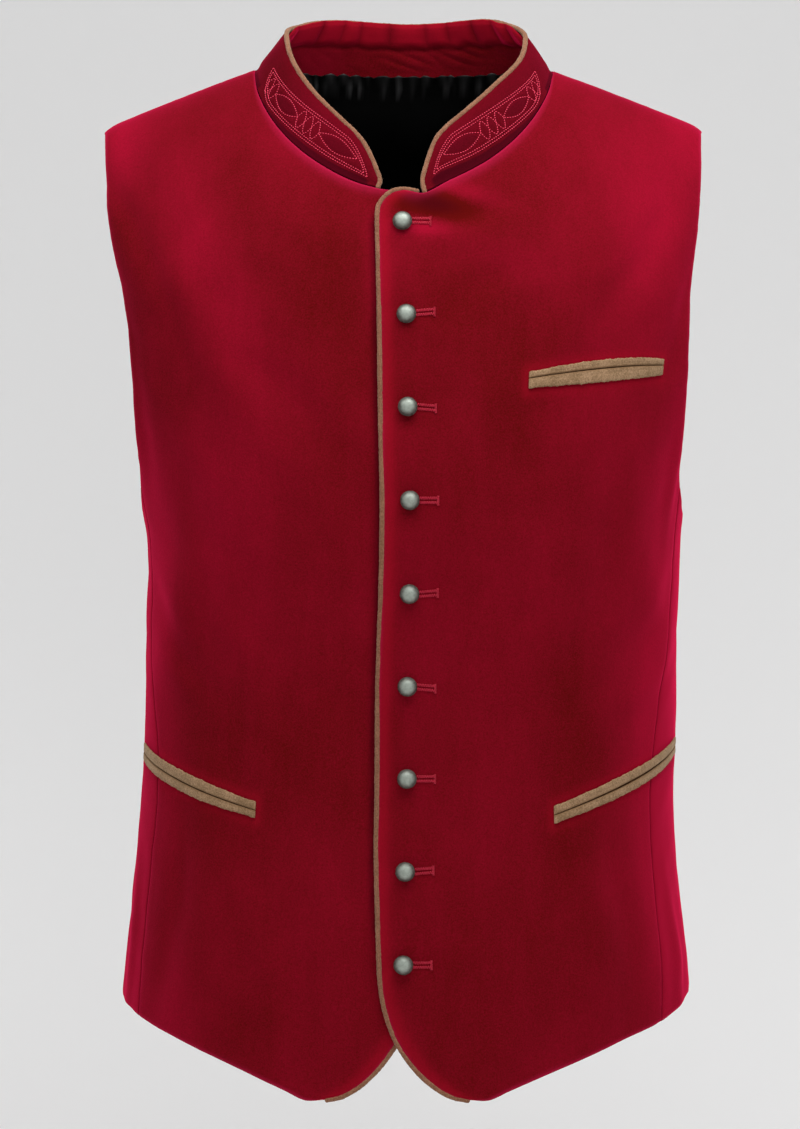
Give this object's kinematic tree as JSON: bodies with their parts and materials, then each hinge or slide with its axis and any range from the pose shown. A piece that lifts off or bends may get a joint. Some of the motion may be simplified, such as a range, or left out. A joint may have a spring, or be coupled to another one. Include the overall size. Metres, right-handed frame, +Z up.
{
  "type": "embroidered folk vest",
  "caption": "Sleeveless folk waistcoat in velvet, in its worn hollow form, with an embroidered stand collar, corded front edge, domed buttons and welt pockets.",
  "frame": {"origin": "centre of the neck opening at the height of the shoulder-neck points, where the wearer carries it", "axes": "+Z up, the front faces -Y, +X towards the wearer's left"},
  "size_m": [0.3884, 0.2516, 0.6988],
  "materials": {
    "front_left": "short-pile cotton velvet",
    "front_right": "short-pile cotton velvet",
    "side_left": "short-pile cotton velvet",
    "side_right": "short-pile cotton velvet",
    "back_left": "short-pile cotton velvet",
    "back_right": "short-pile cotton velvet",
    "collar": "short-pile cotton velvet",
    "collar_band": "short-pile cotton velvet, gathered",
    "lining_back": "black satin lining",
    "cord_front_left": "brushed suede-like cord",
    "cord_front_right": "brushed suede-like cord",
    "cord_collar": "brushed suede-like cord",
    "breast_pocket_upper": "brushed suede-like welt",
    "breast_pocket_lower": "brushed suede-like welt",
    "hip_pocket_left_upper": "brushed suede-like welt",
    "hip_pocket_left_lower": "brushed suede-like welt",
    "hip_pocket_right_upper": "brushed suede-like welt",
    "hip_pocket_right_lower": "brushed suede-like welt",
    "button_1": "antiqued pewter, domed",
    "button_2": "antiqued pewter, domed",
    "button_3": "antiqued pewter, domed",
    "button_4": "antiqued pewter, domed",
    "button_5": "antiqued pewter, domed",
    "button_6": "antiqued pewter, domed",
    "button_7": "antiqued pewter, domed",
    "button_8": "antiqued pewter, domed",
    "button_9": "antiqued pewter, domed"
  },
  "bodies": {
    "root": {"front_left": "front_left", "front_right": "front_right", "side_left": "side_left", "side_right": "side_right", "back_left": "back_left", "back_right": "back_right", "collar": "collar", "collar_band": "collar_band", "lining_back": "lining_back", "cord_front_left": "cord_front_left", "cord_front_right": "cord_front_right", "cord_collar": "cord_collar", "breast_pocket_upper": "breast_pocket_upper", "breast_pocket_lower": "breast_pocket_lower", "hip_pocket_left_upper": "hip_pocket_left_upper", "hip_pocket_left_lower": "hip_pocket_left_lower", "hip_pocket_right_upper": "hip_pocket_right_upper", "hip_pocket_right_lower": "hip_pocket_right_lower", "button_1": "button_1", "button_2": "button_2", "button_3": "button_3", "button_4": "button_4", "button_5": "button_5", "button_6": "button_6", "button_7": "button_7", "button_8": "button_8", "button_9": "button_9"}
  },
  "joints": []
}
